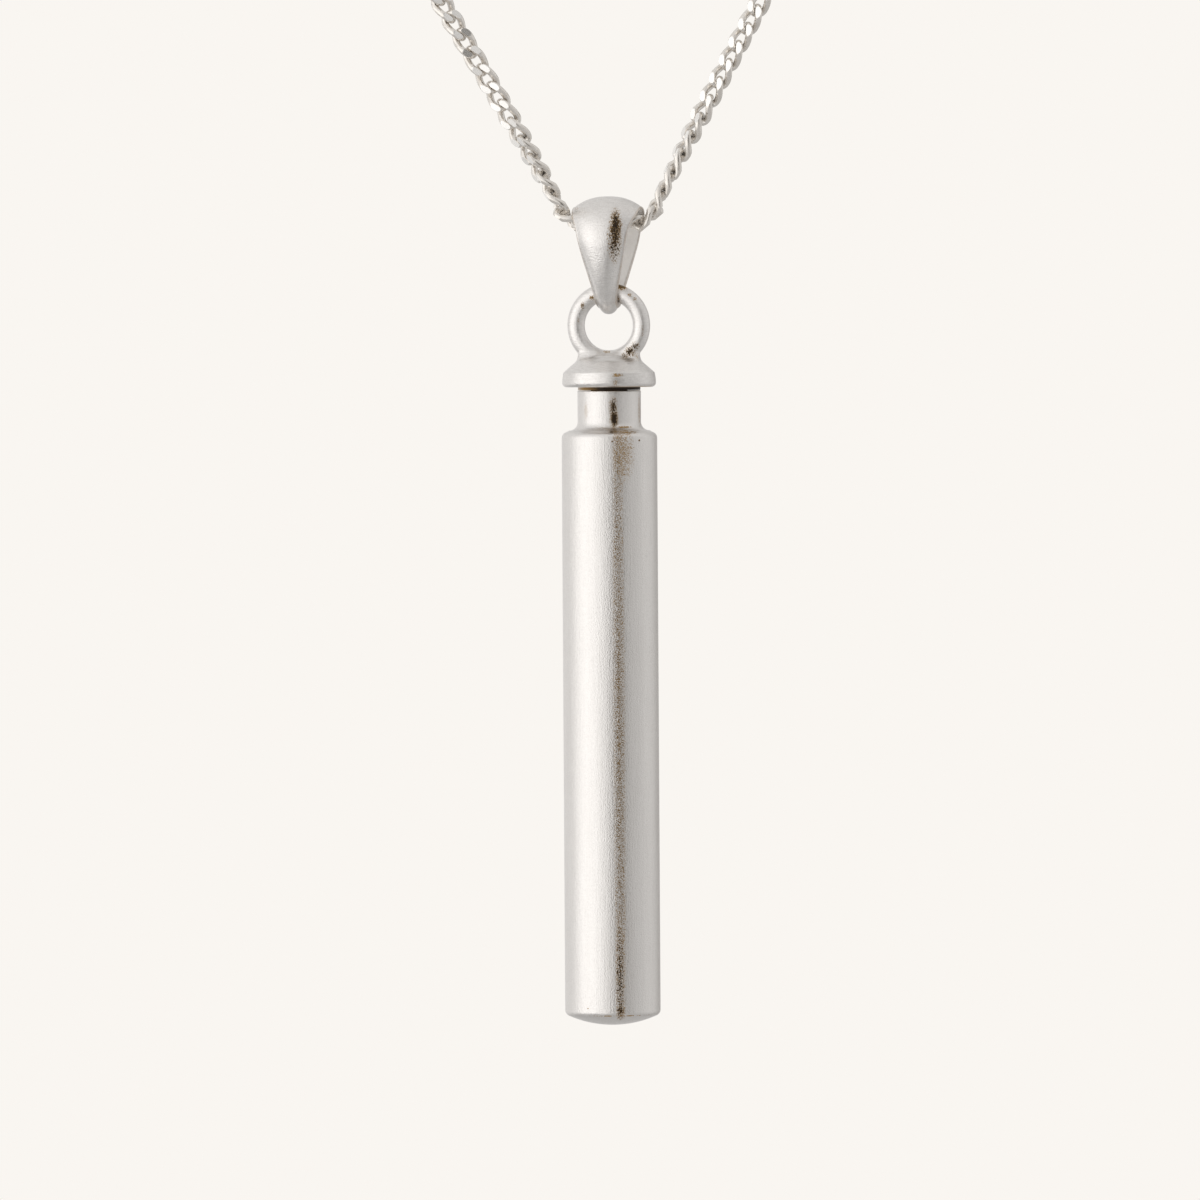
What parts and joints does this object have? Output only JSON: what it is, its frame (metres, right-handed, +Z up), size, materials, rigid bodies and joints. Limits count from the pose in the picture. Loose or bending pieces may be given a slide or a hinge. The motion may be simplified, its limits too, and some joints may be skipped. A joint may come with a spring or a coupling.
{
  "type": "keepsake urn pendant on a chain",
  "caption": "Slim cylindrical memorial pendant with a screw cap, a cast ring and a tapered bail, hanging on a fine curb chain loop.",
  "frame": {"origin": "middle of the hidden clasp, where the loop lies on the nape of the neck", "axes": "+Z up, against gravity; -Y towards the viewer, away from the wearer's chest; +X to the viewer's right"},
  "size_m": [0.1195, 0.0054, 0.2216],
  "materials": {
    "satin_silver": "sterling silver, fine satin brushing with a little tarnish",
    "bright_silver": "sterling silver, bright diamond-cut facets"
  },
  "bodies": {
    "necklace": {"chain": "bright_silver", "clasp": "bright_silver"},
    "bail": {"bail": "satin_silver"},
    "cap": {"cap": "satin_silver"},
    "vessel": {"vessel": "satin_silver"}
  },
  "joints": [
    {"name": "bail_swing", "type": "hinge", "parent": "necklace", "child": "bail", "pos_m": [0, 0, -0.17415], "axis": [1, 0, 0], "range_deg": [-90, 90]},
    {"name": "urn_swing", "type": "hinge", "parent": "bail", "child": "cap", "pos_m": [0, 0, -0.17999], "axis": [0.225, 0.9744, 0], "range_deg": [-90, 90]},
    {"name": "vessel_unscrew", "type": "slide", "parent": "cap", "child": "vessel", "axis": [0, 0, -1], "range_m": [0, 0.003]}
  ]
}
